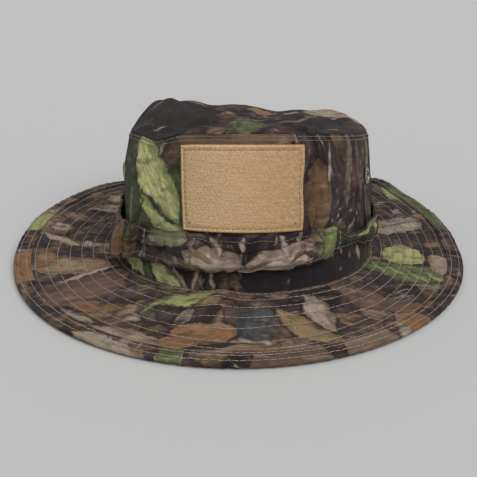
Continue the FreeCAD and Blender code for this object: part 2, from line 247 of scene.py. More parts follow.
def tip_point(angle, share, lift):
    """On the top panel: share is 1 at the seam and 0 in the middle."""
    angle, share = together(angle, share)
    rim = wall_point(angle, 1.0)
    out = (share - TIP_FLAT) / (1 - TIP_FLAT)
    height = TIP_CENTRE + (rim[..., 2] - TIP_CENTRE) * smooth(out)
    x = CROWN_OFFSET + CROWN_LEAN + (rim[..., 0] - CROWN_OFFSET - CROWN_LEAN) * share
    y = rim[..., 1] * share
    roll = 1.6 * np.sin(math.pi * smooth((share - 0.78) / 0.22))
    slack = smooth((1 - share) / 0.15)
    valley = hill(x, y, -3.5, (20, 45), (16, 40))
    swell = hill(x, y, 3.5, (60, 20), (18, 35))
    folds = 1.1 * ripple(x, y, 0 * x, 46, 11) + 0.5 * ripple(x, y, 0 * x, 15, 12)
    height = height + roll + slack * (valley + swell + folds) + lift + GAP
    return np.stack([x, y, height], -1)


def row_share(number, angle):
    """Where a quilting row runs. Sewn by eye, so it wanders, and two rows run wide at the front."""
    turned = np.radians(angle)
    wander = 0.005 * np.sin(3 * turned + number) + 0.003 * np.sin(7 * turned + 2 * number)
    wide = 0.065 * bump_at(angle, 4, 26) if number in (5, 6) else 0.0
    return ROW_SHARES[number] + wander + wide


def brim_point(angle, share, drop=0.0):
    """On the brim's upper face, a share of the way from the crown to the edge."""
    angle, share = together(angle, share)
    inner = wall_point(angle, 0.0, GAP)
    x = inner[..., 0] + (BRIM_HALF_WIDTH * sine(angle) - inner[..., 0]) * share
    y = inner[..., 1] + (-BRIM_HALF_LENGTH * cosine(angle) - inner[..., 1]) * share
    lying = smooth((70 - np.abs(turn(angle))) / 20)
    fall = smooth(share) + (smooth((share - 0.12) / 0.5) - smooth(share)) * lying
    height = seam_height(angle) * (1 - fall) + (edge_height(angle) + EDGE_TOP) * fall
    loose = np.sin(math.pi * np.clip(share, 0, 1)) * (1 - 0.8 * lying * smooth((share - 0.45) / 0.2))
    fold = 2.6 * bump_at(angle, -8.5, 5.5) * np.exp(-((share - 0.15) / 0.3) ** 2)
    waves = fold + 0.8 * loose * ripple(x, y, 0 * x, 48, 21)
    quilt = 0.14 * pucker(angle, share, 31) * smooth(share / 0.06) * smooth((1.0 - share) / 0.05)
    for number in range(len(ROW_SHARES)):
        across = (share - row_share(number, angle)) * BRIM_WIDTH
        quilt = quilt - ROW_DEPTH * np.exp(-(across / ROW_REACH) ** 2)
    table = BRIM_THICK + 0.5 + 0.65 * smooth((share - 0.8) / 0.06)
    height = np.maximum(height + waves + quilt, table)
    return np.stack([x, y, height - drop], -1)


def band_point(angle, across, extra):
    """On the band: across runs from -1 at its lower edge to 1 at its upper edge."""
    angle, across = together(angle, across)
    middle, half, gap, ledge, belly, tilt, crease = eased(BAND_SHAPE, angle)
    step = smooth((crease + 0.1 - across) / 0.2) * (1 - 0.5 * smooth((-0.55 - across) / 0.45))
    pinch = 0.12 * np.abs(ledge) * np.exp(-((across - crease - 0.2) / 0.08) ** 2)
    crumple = 0.45 * pucker(angle, across * 0.03, 41, 30, 80) * np.minimum(gap / 2, 1)
    crumple = crumple * (1 - 0.4 * np.abs(across))
    out = gap + ledge * step + belly * (1 - across ** 2) + half * across * sine(tilt) + crumple - pinch
    height = middle + half * across * cosine(tilt) + 0.5 * pucker(angle, 0.2, 43, 20, 50)
    return wall_point(angle, share_above(angle, height), np.maximum(out, 0.5) + extra)


ARC_ANGLES = np.linspace(-180, 180, 1441)
arc_steps = np.linalg.norm(np.diff(wall_point(ARC_ANGLES, 0.35), axis=0), axis=1)
ARC_LENGTHS = np.concatenate([[0], np.cumsum(arc_steps)])
ARC_LENGTHS = ARC_LENGTHS - np.interp(0, ARC_ANGLES, ARC_LENGTHS)


def arc_length(angle):
    """Distance round the crown from the middle of the front."""
    return np.interp(angle, ARC_ANGLES, ARC_LENGTHS)


# ---- meshes ----

def add_object(name, data):
    made = bpy.data.objects.new(name, data)
    bpy.context.scene.collection.objects.link(made)
    return made


def make_object(name, points, faces, cloth, crease=50):
    """An object from points in millimetres, wound outward, with its cloth coordinates per corner."""
    mesh = bpy.data.meshes.new(name)
    mesh.from_pydata((points * MM).tolist(), [], [list(face) for face in faces])
    layer = mesh.uv_layers.new(name="cloth")
    layer.data.foreach_set("uv", np.asarray(cloth, np.float32).ravel())
    mesh.calc_loop_triangles()
    triangles = np.zeros(len(mesh.loop_triangles) * 3, np.int32)
    mesh.loop_triangles.foreach_get("vertices", triangles)
    a, b, c = (points[triangles.reshape(-1, 3)[:, k]] for k in range(3))
    if np.einsum("ij,ij->i", a, np.cross(b, c)).sum() < 0:
        mesh.flip_normals()
    mesh.shade_smooth()
    mesh.set_sharp_from_angle(angle=math.radians(crease))
    return add_object(name, mesh)


def shell(name, outer, inner, cloth, closed, keep=None, crease=50):
    """Cloth with thickness from two grids of points. cloth has one column more if the grid closes."""
    rows, columns = outer.shape[:2]
    spans = columns if closed else columns - 1
    if keep is None:
        keep = np.ones((rows - 1, spans), bool)
    r, c = np.nonzero(keep)
    after = (c + 1) % columns
    corners = np.stack([r * columns + c, r * columns + after,
                        (r + 1) * columns + after, (r + 1) * columns + c], 1)
    places = np.stack([cloth[r, c], cloth[r, c + 1], cloth[r + 1, c + 1], cloth[r + 1, c]], 1)
    far = rows * columns
    faces = [corners, corners[:, ::-1] + far]
    uvs = [places, places[:, ::-1]]
    beside = np.pad(keep, 1)
    if closed:
        beside[1:-1, 0] = keep[:, -1]
        beside[1:-1, -1] = keep[:, 0]
    for side, (down, along) in enumerate(((-1, 0), (0, 1), (1, 0), (0, -1))):
        bare = ~beside[1 + down:rows + down, 1 + along:spans + 1 + along]
        pick = bare[r, c]
        first, second = corners[pick, side], corners[pick, (side + 1) % 4]
        faces.append(np.stack([second, first, first + far, second + far], 1))
        start, end = places[pick, side], places[pick, (side + 1) % 4]
        uvs.append(np.stack([end, start, start, end], 1))
    points = np.concatenate([outer.reshape(-1, 3), inner.reshape(-1, 3)])
    faces, uvs = np.concatenate(faces), np.concatenate(uvs)
    used, faces = np.unique(faces, return_inverse=True)
    return make_object(name, points[used], faces.reshape(-1, 4), uvs, crease)


def ring_quads(rows, columns):
    """Quads between closed rings of points. The last row of quads joins the last ring to the first."""
    row, column = np.divmod(np.arange(rows * columns), columns)
    down, after = (row + 1) % rows, (column + 1) % columns
    return np.stack([row * columns + column, row * columns + after,
                     down * columns + after, down * columns + column], 1)


def grid(first, second):
    """Two coordinate arrays for a grid with rows along second and columns along first."""
    return np.broadcast_arrays(np.asarray(first)[None, :], np.asarray(second)[:, None])


def round_angles(count):
    """Angles once round the hat, starting at the back seam, with the first one repeated."""
    return np.linspace(-180, 180, count + 1)


def finish_piece(made, material, node):
    made.data.materials.append(material)
    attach(made, "root")
    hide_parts(node)


def track(surface, first, second, side=1, *more):
    """Points along a surface and the normals there. side is -1 where the surface faces up."""
    first, second = together(first, second)
    here = surface(first, second, *more)
    aside = surface(first + 0.05, second, *more) - here
    above = surface(first, second + 0.004, *more) - here
    normal = np.cross(aside, above)
    return here, side * normal / np.linalg.norm(normal, axis=-1, keepdims=True)


def sew(name, tracks, material, node, length=3.4, gap=0.3, radius=0.17):
    """Separate stitches along each track, with their ends sunk in the cloth."""
    sides = 6
    ring_places = np.array([0.0, 0.07, 0.5, 0.93, 1.0])
    rings = len(ring_places)
    heights = np.array([-0.14, 0.10, 0.18, 0.10, -0.14])
    fullness = np.array([0.45, 1.0, 1.0, 1.0, 0.45])
    round_step = np.arange(sides) * WHOLE_TURN / sides
    points, places = [], []
    for line, normals in tracks:
        run = np.concatenate([[0], np.cumsum(np.linalg.norm(np.diff(line, axis=0), axis=1))])
        count = max(1, int(run[-1] / (length + gap)))
        pace = run[-1] / count
        at = np.arange(count)[:, None] * pace + (pace - gap) * ring_places[None, :]
        middle, normal = (np.stack([np.interp(at, run, column) for column in found.T], -1)
                          for found in (line, normals))
        along = np.gradient(middle, axis=1)
        across = np.cross(along, normal)
        across = across / np.linalg.norm(across, axis=-1, keepdims=True)
        middle = middle + normal * heights[None, :, None]
        ring = (across[:, :, None, :] * np.cos(round_step)[None, None, :, None]
                + normal[:, :, None, :] * np.sin(round_step)[None, None, :, None])
        spread = ring * (radius * fullness)[None, :, None, None]
        points.append((middle[:, :, None, :] + spread).reshape(-1, 3))
        place = np.stack(np.broadcast_arrays(at[:, :, None], np.arange(sides)[None, None, :] * 0.3), -1)
        places.append(place.reshape(-1, 2))
    points, places = np.concatenate(points), np.concatenate(places)
    start = np.arange(len(points) // (rings * sides))[:, None] * rings * sides
    quads = []
    for ring in range(rings - 1):
        for k in range(sides):
            a, b = ring * sides + k, ring * sides + (k + 1) % sides
            quads.append(start + np.array([[a, b, b + sides, a + sides]]))
    quads = np.concatenate(quads)
    last = (rings - 1) * sides
    caps = [start + np.arange(sides)[::-1], start + last + np.arange(sides)]
    caps = np.concatenate(caps)
    faces = quads.tolist() + caps.tolist()
    cloth = np.concatenate([places[quads].reshape(-1, 2), places[caps].reshape(-1, 2)])
    finish_piece(make_object(name, points, faces, cloth, crease=80), material, node)


# ---- shader helpers ----

def paint(red, green, blue):
    """A display colour, 0 to 255, as a linear one."""
    levels = [value / 255 for value in (red, green, blue)]
    return tuple(v / 12.92 if v < 0.04045 else ((v + 0.055) / 1.055) ** 2.4 for v in levels) + (1.0,)


BARK_DARK = paint(38, 31, 33)
BARK_MID = paint(77, 63, 63)
STREAK = paint(172, 156, 146)
BARK_STREAK = paint(126, 112, 104)
BROWN = paint(112, 89, 71)
TAN = paint(148, 124, 98)
ORANGE = paint(146, 106, 72)
BEIGE = paint(178, 162, 142)
LIGHT_GREEN = paint(160, 166, 108)
GREEN = paint(92, 102, 66)
DARK_GREEN = paint(54, 64, 42)
TEAL = paint(80, 84, 84)
OLIVE = paint(122, 98, 62)
PALE_GREEN = paint(206, 208, 146)
NEEDLE_GREEN = paint(150, 158, 104)


class Graph:
    """Short names for making shader nodes in one tree."""

    def __init__(self, tree):
        self.tree = tree

    def node(self, kind, inputs=None, **settings):
        made = self.tree.nodes.new(kind)
        for key, value in settings.items():
            setattr(made, key, value)
        for key, value in (inputs or {}).items():
            if isinstance(value, bpy.types.NodeSocket):
                self.tree.links.new(value, made.inputs[key])
            else:
                made.inputs[key].default_value = value
        return made

    def math(self, operation, *values):
        return self.node("ShaderNodeMath", dict(enumerate(values)), operation=operation).outputs[0]

    def times(self, first, second):
        return self.math("MULTIPLY", first, second)

    def times_add(self, first, second, added):
        return self.math("MULTIPLY_ADD", first, second, added)

    def vector(self, operation, *values):
        return self.node("ShaderNodeVectorMath", dict(enumerate(values)), operation=operation).outputs[0]

    def mix(self, share, first, second, kind="MIX"):
        return self.node("ShaderNodeMix", {0: share, 6: first, 7: second}, data_type="RGBA",
                         blend_type=kind).outputs[2]

    def step(self, value, low, high):
        """0 below low and 1 above high, eased between."""
        return self.node("ShaderNodeMapRange", {0: value, 1: low, 2: high, 3: 0.0, 4: 1.0},
                         interpolation_type="SMOOTHSTEP").outputs[0]

    def noise(self, place, size, detail=2.0, twist=0.0):
        return self.node("ShaderNodeTexNoise", {"Vector": place, "Scale": 1 / size, "Detail": detail,
                                                "Distortion": twist}).outputs[0]

    def patches(self, place, size, detail, low, high):
        """0 to 1 in ragged patches about size across."""
        return self.step(self.noise(place, size, detail), low, high)

    def over(self, colour, mask, strength, other):
        """Lays another colour over this one through a mask."""
        return self.mix(self.times(mask, strength), colour, other)

    def scaled(self, place, x, y, shift=0.0):
        return self.node("ShaderNodeMapping", {"Vector": place, "Location": (shift, shift * 0.7, 0),
                                               "Scale": (x, y, 1)}).outputs[0]

    def turned(self, place, angle):
        return self.node("ShaderNodeVectorRotate", {"Vector": place, "Angle": angle},
                         rotation_type="Z_AXIS").outputs[0]

    def parts(self, place):
        return self.node("ShaderNodeSeparateXYZ", {0: place}).outputs

    def ramp(self, value, stops, smooth_steps=True):
        made = self.node("ShaderNodeValToRGB", {0: value})
        made.color_ramp.interpolation = "EASE" if smooth_steps else "CONSTANT"
        while len(made.color_ramp.elements) < len(stops):
            made.color_ramp.elements.new(0.5)
        for element, (position, colour) in zip(made.color_ramp.elements, stops):
            element.position = position
            element.color = colour
        return made.outputs[0]


WEAVE_PITCH = 0.62
CLOTH_SHEEN = {"Specular IOR Level": 0.25, "Sheen Weight": 0.02, "Sheen Roughness": 0.5}


def start_material(name):
    """A new material, its empty graph, and the socket of the cloth coordinates in millimetres."""
    material = bpy.data.materials.new(name)
    material.use_nodes = True
    material.node_tree.nodes.clear()
    g = Graph(material.node_tree)
    return material, g, g.node("ShaderNodeUVMap", uv_map="cloth").outputs[0]


def end_material(g, colour, rough, height, bump_strength, bump_depth, uniform):
    """The shader and output. uniform holds the sockets that have one value all over."""
    bump = g.node("ShaderNodeBump", {"Strength": bump_strength, "Distance": bump_depth, "Height": height})
    sockets = {"Base Color": colour, "Roughness": rough, "Normal": bump.outputs[0]}
    shader = g.node("ShaderNodeBsdfPrincipled", {**sockets, **uniform})
    g.node("ShaderNodeOutputMaterial", {0: shader.outputs[0]})


def leaf_mark_group():
    """One printed leaf or patch over a base colour, with ragged edges, a rib, veins and a dark rim."""
    group = bpy.data.node_groups.new("leaf mark", "ShaderNodeTree")
    sockets = (("Base", "Color"), ("Place", "Vector"), ("Centre", "Vector"), ("Angle", "Float"),
               ("Length", "Float"), ("Width", "Float"), ("Bend", "Float"), ("Power", "Float"),
               ("Light", "Color"), ("Dark", "Color"), ("Rib", "Float"), ("Rim", "Float"))
    for name, kind in sockets:
        group.interface.new_socket(name=name, in_out="INPUT", socket_type="NodeSocket" + kind)
    group.interface.new_socket(name="Colour", in_out="OUTPUT", socket_type="NodeSocketColor")
    g = Graph(group)
    given = g.node("NodeGroupInput").outputs
    # The base colour's tiny share keeps the marks in turn, which the renderer's working memory needs.
    waited = g.node("ShaderNodeVectorMath", {0: given["Base"], "Scale": 1e-7}, operation="SCALE").outputs[0]
    place = g.vector("SUBTRACT", g.vector("ADD", given["Place"], waited), given["Centre"])
    place = g.turned(place, g.times(given["Angle"], -1.0))
    along_mm, across_mm = g.parts(place)[0], g.parts(place)[1]
    along = g.math("DIVIDE", along_mm, g.times(given["Length"], 0.5))
    half_width = g.times(given["Width"], 0.5)
    across = g.math("DIVIDE", across_mm, half_width)
    bend = g.times(given["Bend"], g.times(along, along))
    across = g.math("SUBTRACT", across, bend)
    span = g.math("SUBTRACT", 1.0, g.math("POWER", g.math("ABSOLUTE", along), given["Power"]))
    wobble = g.math("ADD", g.math("DIVIDE", 4.0, half_width), 0.25)
    ragged = g.times(g.math("SUBTRACT", g.noise(place, 5.0, 5.0), 0.5), wobble)
    beyond = g.math("ADD", g.math("SUBTRACT", g.math("ABSOLUTE", across), span), ragged)
    cover = g.times_add(g.patches(place, 9.0, 5.0, 0.25, 0.55), 0.35, 0.65)
    soft = g.math("DIVIDE", 0.8, half_width)
    inside = g.times(g.step(beyond, soft, g.times(soft, -1.2)), cover)
    rim = g.times(g.step(beyond, 0.5, 0.0), g.times(given["Rim"], 0.7))
    base = g.mix(rim, given["Base"], paint(26, 22, 22))
    blotch = g.noise(g.scaled(place, 0.45, 1.6), 6.0, 5.0)
    shaded = g.times_add(across, 0.12, blotch)
    shaded = g.times_add(g.step(beyond, -0.7, 0.0), 0.18, shaded)
    fill = g.mix(g.step(shaded, 0.46, 0.80), given["Light"], given["Dark"])
    torn = g.patches(g.scaled(place, 0.6, 1.3, 23), 4.5, 4.0, 0.60, 0.74)
    slant = g.math("SUBTRACT", along_mm, g.times(g.math("ABSOLUTE", across_mm), 0.9))
    veins = g.step(g.math("SINE", g.times(slant, 1.3)), 0.75, 1.0)
    middle = g.step(g.math("ABSOLUTE", across), 0.10, 0.02)
    lines = g.times(g.math("MAXIMUM", middle, g.times(veins, 0.5)), given["Rib"])
    fill = g.mix(lines, fill, given["Dark"])
    fibre = g.patches(g.scaled(place, 0.22, 1.4, 61), 2.6, 4.0, 0.44, 0.70)
    fill = g.over(fill, fibre, 0.28, paint(60, 48, 44))
    fill = g.over(fill, torn, 0.7, given["Base"])
    colour = g.mix(inside, base, fill)
    g.node("NodeGroupOutput", {"Colour": colour})
    return group


LEAF_MARK = leaf_mark_group()


def add_marks(g, colour, place, marks):
    """Prints each mark: centre, angle, length, width, bend, power, light, dark, rib, rim."""
    for centre, angle, length, width, bend, power, light, dark, rib, rim in marks:
        mark = g.node("ShaderNodeGroup", node_tree=LEAF_MARK)
        values = {"Centre": (centre[0], centre[1], 0), "Angle": math.radians(angle), "Length": length,
                  "Width": width, "Bend": bend, "Power": power, "Light": light, "Dark": dark,
                  "Rib": rib, "Rim": rim}
        for key, value in values.items():
            mark.inputs[key].default_value = value
        g.tree.links.new(colour, mark.inputs["Base"])
        g.tree.links.new(place, mark.inputs["Place"])
        colour = mark.outputs[0]
    return colour


def bark(g, place, heading, shift):
    """Dark bark with pale broken streaks that wander about a heading in degrees."""
    wander = g.times_add(g.noise(place, 70.0, 1.0), 1.6, math.radians(-heading) - 0.8)
    along = g.turned(place, wander)
    tone = g.mix(g.patches(g.scaled(along, 0.25, 1.0, shift), 6.0, 5.0, 0.38, 0.70), BARK_DARK, BARK_MID)
    streak = g.step(g.noise(g.scaled(along, 0.28, 1.0, shift + 37), 4.0, 5.0, 0.5), 0.58, 0.70)
    brown = g.patches(g.scaled(along, 0.5, 1.0, shift + 71), 12.0, 4.0, 0.56, 0.64)
    tone = g.over(tone, brown, 0.7, BROWN)
    return g.over(tone, streak, 0.8, STREAK)


LITTER_SHADES = ((0.0, paint(64, 53, 50)), (0.20, BROWN), (0.38, paint(94, 76, 74)), (0.52, TAN),
                 (0.62, paint(78, 63, 62)), (0.76, paint(140, 106, 74)), (0.85, BEIGE), (0.94, OLIVE))


def litter(g, place, size, shift):
    """Fallen leaves: torn cells in earth colours, each with its own shade, fibres and shadow."""
    moved = g.scaled(place, 1.0, 1.35, shift)
    cell = g.node("ShaderNodeTexVoronoi", {"Vector": moved, "Scale": 1 / size})
    edge = g.node("ShaderNodeTexVoronoi", {"Vector": moved, "Scale": 1 / size}, feature="DISTANCE_TO_EDGE")
    chance = g.parts(cell.outputs["Color"])
    shade = g.ramp(chance[0], LITTER_SHADES, False)
    fibres_place = g.turned(place, g.times(chance[1], 6.28))
    fibres = g.patches(g.scaled(fibres_place, 0.22, 1.3, shift), 3.6, 5.0, 0.40, 0.68)
    shade = g.over(shade, fibres, 0.65, BARK_DARK)
    lit = g.step(cell.outputs["Distance"], 0.75, 0.15)
    shade = g.over(shade, lit, 0.12, BEIGE)
    outline = g.step(edge.outputs["Distance"], 0.12, 0.0)
    shade = g.over(shade, outline, 0.5, paint(34, 28, 29))
    gone = g.patches(g.scaled(place, 0.7, 1.2, shift + 13), 10.0, 5.0, 0.46, 0.62)
    return g.over(shade, gone, 0.8, paint(50, 41, 42))


def printed_cloth(name, marks, heading, litter_share, shift):
    """Woven cloth with a leaf-litter print, from the cloth coordinates in millimetres."""
    material, g, flat = start_material(name)
    sway = g.node("ShaderNodeTexNoise", {"Vector": flat, "Scale": 1 / 11, "Detail": 4.0}).outputs[1]
    sway = g.vector("SUBTRACT", sway, (0.5, 0.5, 0.5))
    sway = g.node("ShaderNodeVectorMath", {0: sway, "Scale": 6.0}, operation="SCALE").outputs[0]
    place = g.vector("ADD", flat, sway)
    dark = bark(g, place, heading, shift)
    fallen = litter(g, place, 17.0, shift + 5)
    least = 0.62 - 0.3 * litter_share
    chosen = g.patches(g.scaled(flat, 1, 1, shift + 90), 38.0, 1.0, least, least + 0.06)
    colour = g.mix(chosen, dark, fallen)
    colour = add_marks(g, colour, place, marks)
    blot = g.patches(g.scaled(place, 0.4, 1.3, shift + 200), 6.0, 5.0, 0.50, 0.66)
    colour = g.over(colour, blot, 0.42, paint(40, 32, 35))
    lit = g.step(g.node("ShaderNodeRGBToBW", {0: colour}).outputs[0], 0.02, 0.07)
    glow = g.times(lit, g.patches(g.scaled(place, 0.5, 1.4, shift + 260), 7.0, 5.0, 0.54, 0.70))
    colour = g.over(colour, glow, 0.36, paint(180, 154, 132))
    grain = g.noise(flat, 0.9, 3.0)
    colour = g.mix(0.22, colour, g.ramp(grain, [(0.3, paint(40, 36, 36)), (0.7, paint(190, 180, 168))]),
                   "SOFT_LIGHT")
    fade = g.patches(flat, 55.0, 3.0, 0.40, 0.75)
    colour = g.over(colour, fade, 0.06, paint(170, 160, 150))
    x, y = g.parts(flat)[0], g.parts(flat)[1]
    warp = g.math("SINE", g.times(x, WHOLE_TURN / WEAVE_PITCH))
    weft = g.math("SINE", g.times(y, WHOLE_TURN / WEAVE_PITCH))
    weave = g.times(warp, weft)
    thread_tone = g.times_add(weave, 0.05, 0.5)
    threads = g.ramp(thread_tone, [(0.42, paint(100, 100, 100)), (0.58, paint(156, 156, 156))])
    colour = g.mix(0.5, colour, threads, "OVERLAY")
    slub = g.noise(g.scaled(flat, 0.2, 1.0), 1.2, 3.0)
    height = g.times_add(weave, 0.35, g.times(slub, 0.8))
    height = g.math("ADD", height, g.times(g.noise(flat, 6.0, 4.0), 1.6))
    rough = g.times_add(g.noise(flat, 3.0, 3.0), 0.16, 0.80)
    end_material(g, colour, rough, height, 0.55, 0.0003, {**CLOTH_SHEEN, "Specular IOR Level": 0.12})
    return material


def plain_cloth(name, light, dark, pitch, sheen, bump_depth=0.0003):
    """One-colour woven tape, thread or felt with worn and darker places."""
    material, g, flat = start_material(name)
    x, y = g.parts(flat)[0], g.parts(flat)[1]
    twill = g.math("SINE", g.times(g.math("ADD", x, y), WHOLE_TURN / pitch))
    worn = g.patches(flat, 20.0, 4.0, 0.35, 0.7)
    colour = g.mix(worn, dark, light)
    fine = g.noise(flat, 0.8, 3.0)
    colour = g.over(colour, fine, 0.35, dark)
    colour = g.mix(g.times_add(twill, 0.10, 0.10), colour, dark)
    height = g.math("ADD", g.times(twill, 0.5), fine)
    rough = g.times_add(fine, 0.2, 0.68)
    end_material(g, colour, rough, height, 0.7, bump_depth, {**CLOTH_SHEEN, "Sheen Weight": sheen})
    return material


def pile_material():
    """Tan looped pile: small curls, a speckle of light tips, and flattened places."""
    material, g, flat = start_material("loop pile")
    curls = g.node("ShaderNodeTexVoronoi", {"Vector": flat, "Scale": 1 / 0.9}).outputs["Distance"]
    tangle = g.noise(flat, 1.0, 5.0, 1.2)
    flattened = g.patches(flat, 16.0, 3.0, 0.35, 0.7)
    colour = g.ramp(tangle, [(0.30, paint(168, 136, 98)), (0.50, paint(182, 152, 114)),
                             (0.72, paint(198, 168, 130))])
    colour = g.over(colour, flattened, 0.3, paint(196, 166, 128))
    # From here the pile gets darker and browner towards the right, with brown specks there.
    rightward = g.step(g.parts(flat)[0], -14.0, 32.0)
    worn = g.times(rightward, g.patches(flat, 2.6, 4.0, 0.36, 0.62))
    colour = g.mix(g.times_add(worn, 0.4, g.times(rightward, 0.45)), colour,
                   paint(148, 118, 82))
    tips = g.patches(flat, 1.7, 3.0, 0.55, 0.68)
    colour = g.over(colour, tips, 0.22, paint(212, 184, 146))
    colour = g.over(colour, g.step(curls, 0.35, 0.75), 0.4, paint(156, 122, 86))
    height = g.math("SUBTRACT", g.times(tangle, 1.2), curls)
    rough = g.times_add(tangle, 0.2, 0.72)
    end_material(g, colour, rough, height, 0.34, 0.0003,
                 {"Specular IOR Level": 0.15, "Sheen Weight": 0.08, "Sheen Roughness": 0.45})
    return material


def metal_material():
    """Grey-bronze paint, rubbed through on the rim."""
    material, g, flat = start_material("painted eyelet")
    rubbed = g.patches(flat, 1.4, 4.0, 0.52, 0.62)
    colour = g.mix(rubbed, paint(112, 108, 98), paint(188, 180, 164))
    rough = g.times_add(g.noise(flat, 0.7, 3.0), 0.25, 0.28)
    end_material(g, colour, rough, g.noise(flat, 0.5, 3.0), 0.3, 0.0001, {"Metallic": 0.75})
    return material


# ---- where the print's main leaves and patches lie, in cloth millimetres, with painted light and shade in some band marks ----

BRIM_MARKS = (
    ((-90, 58), 18, 46, 18, 0.2, 2, BEIGE, BARK_MID, 0.8, 0.8),
    ((-118, -5), -36, 38, 6, 0.2, 3, BEIGE, TAN, 0.0, 0.5),
    ((-102, -46), -4, 48, 22, 0.0, 6, paint(162, 138, 110), paint(116, 92, 74), 0.2, 0.6),
    ((-122, -38), 85, 22, 12, 0.0, 8, ORANGE, BROWN, 0.0, 0.3),
    ((-90, -80), 28, 58, 32, 0.1, 4, paint(124, 98, 82), paint(94, 76, 66), 0.2, 0.4),
    ((-91, -59), 32, 42, 5, 0.1, 3, BEIGE, TAN, 0.0, 0.2),
    ((-86, -97), -30, 22, 12, 0.0, 3, ORANGE, BROWN, 0.3, 0.5),
    ((-92, -108), -36, 40, 10, 0.2, 2, BEIGE, BARK_MID, 0.5, 0.6),
    ((-64, -131), -17, 60, 15, -0.3, 2, BEIGE, TAN, 0.6, 0.6),
    ((-32, -139), -10, 20, 12, 0.0, 4, ORANGE, TAN, 0.3, 0.4),
    ((-18, -131), -5, 38, 14, 0.2, 4, ORANGE, TAN, 0.3, 0.4),
    ((9, -126), 85, 24, 18, 0.0, 6, TEAL, paint(60, 60, 64), 0.0, 0.4),
    ((26, -149), 0, 80, 13, 0.0, 6, BROWN, TAN, 0.1, 0.3),
    ((37, -129), -34, 48, 15, 0.4, 2, paint(156, 134, 96), paint(128, 102, 74), 0.4, 0.8),
    ((43, -113), -64, 32, 15, 0.1, 2, BEIGE, paint(140, 122, 108), 0.5, 0.8),
    ((80, -95), -20, 62, 16, 0.1, 4, paint(118, 90, 76), BROWN, 0.2, 0.4),
    ((93, -112), 15, 20, 13, 0.0, 6, ORANGE, TAN, 0.2, 0.3),
    ((102, -54), -20, 66, 30, 0.1, 2, paint(112, 122, 78), DARK_GREEN, 0.6, 0.6),
    ((95, -54), 118, 30, 5, 0.1, 1, NEEDLE_GREEN, GREEN, 0.0, 0.0),
    ((107, -60), 124, 32, 5, 0.1, 1, NEEDLE_GREEN, GREEN, 0.0, 0.0),
    ((118, -62), 130, 26, 5, 0.1, 1, NEEDLE_GREEN, GREEN, 0.0, 0.0),
    ((85, -49), 112, 24, 5, 0.1, 1, NEEDLE_GREEN, GREEN, 0.0, 0.0),
    ((104, -29), 76, 30, 26, 0.0, 4, paint(186, 180, 122), LIGHT_GREEN, 0.2, 0.4),
    ((108, 22), 14, 40, 26, 0.0, 8, BEIGE, BARK_MID, 0.9, 0.8),
    ((125, -42), 85, 30, 13, 0.0, 6, BEIGE, TAN, 0.4, 0.6),
    ((118, 84), -84, 50, 15, 0.1, 3, LIGHT_GREEN, GREEN, 0.2, 0.5),
    ((-28, -103), 6, 38, 12, 0.4, 2, paint(172, 176, 112), GREEN, 0.4, 0.7),
    ((-46, -106), 30, 16, 4, 0.0, 2, LIGHT_GREEN, GREEN, 0.0, 0.3),
    ((0, 130), 5, 70, 22, 0.2, 2, GREEN, DARK_GREEN, 0.6, 0.8),
    ((-60, 118), 40, 50, 18, -0.2, 2, BEIGE, TAN, 0.7, 0.8),
    ((62, 122), -30, 56, 20, 0.2, 2, TAN, BROWN, 0.6, 0.8),
)

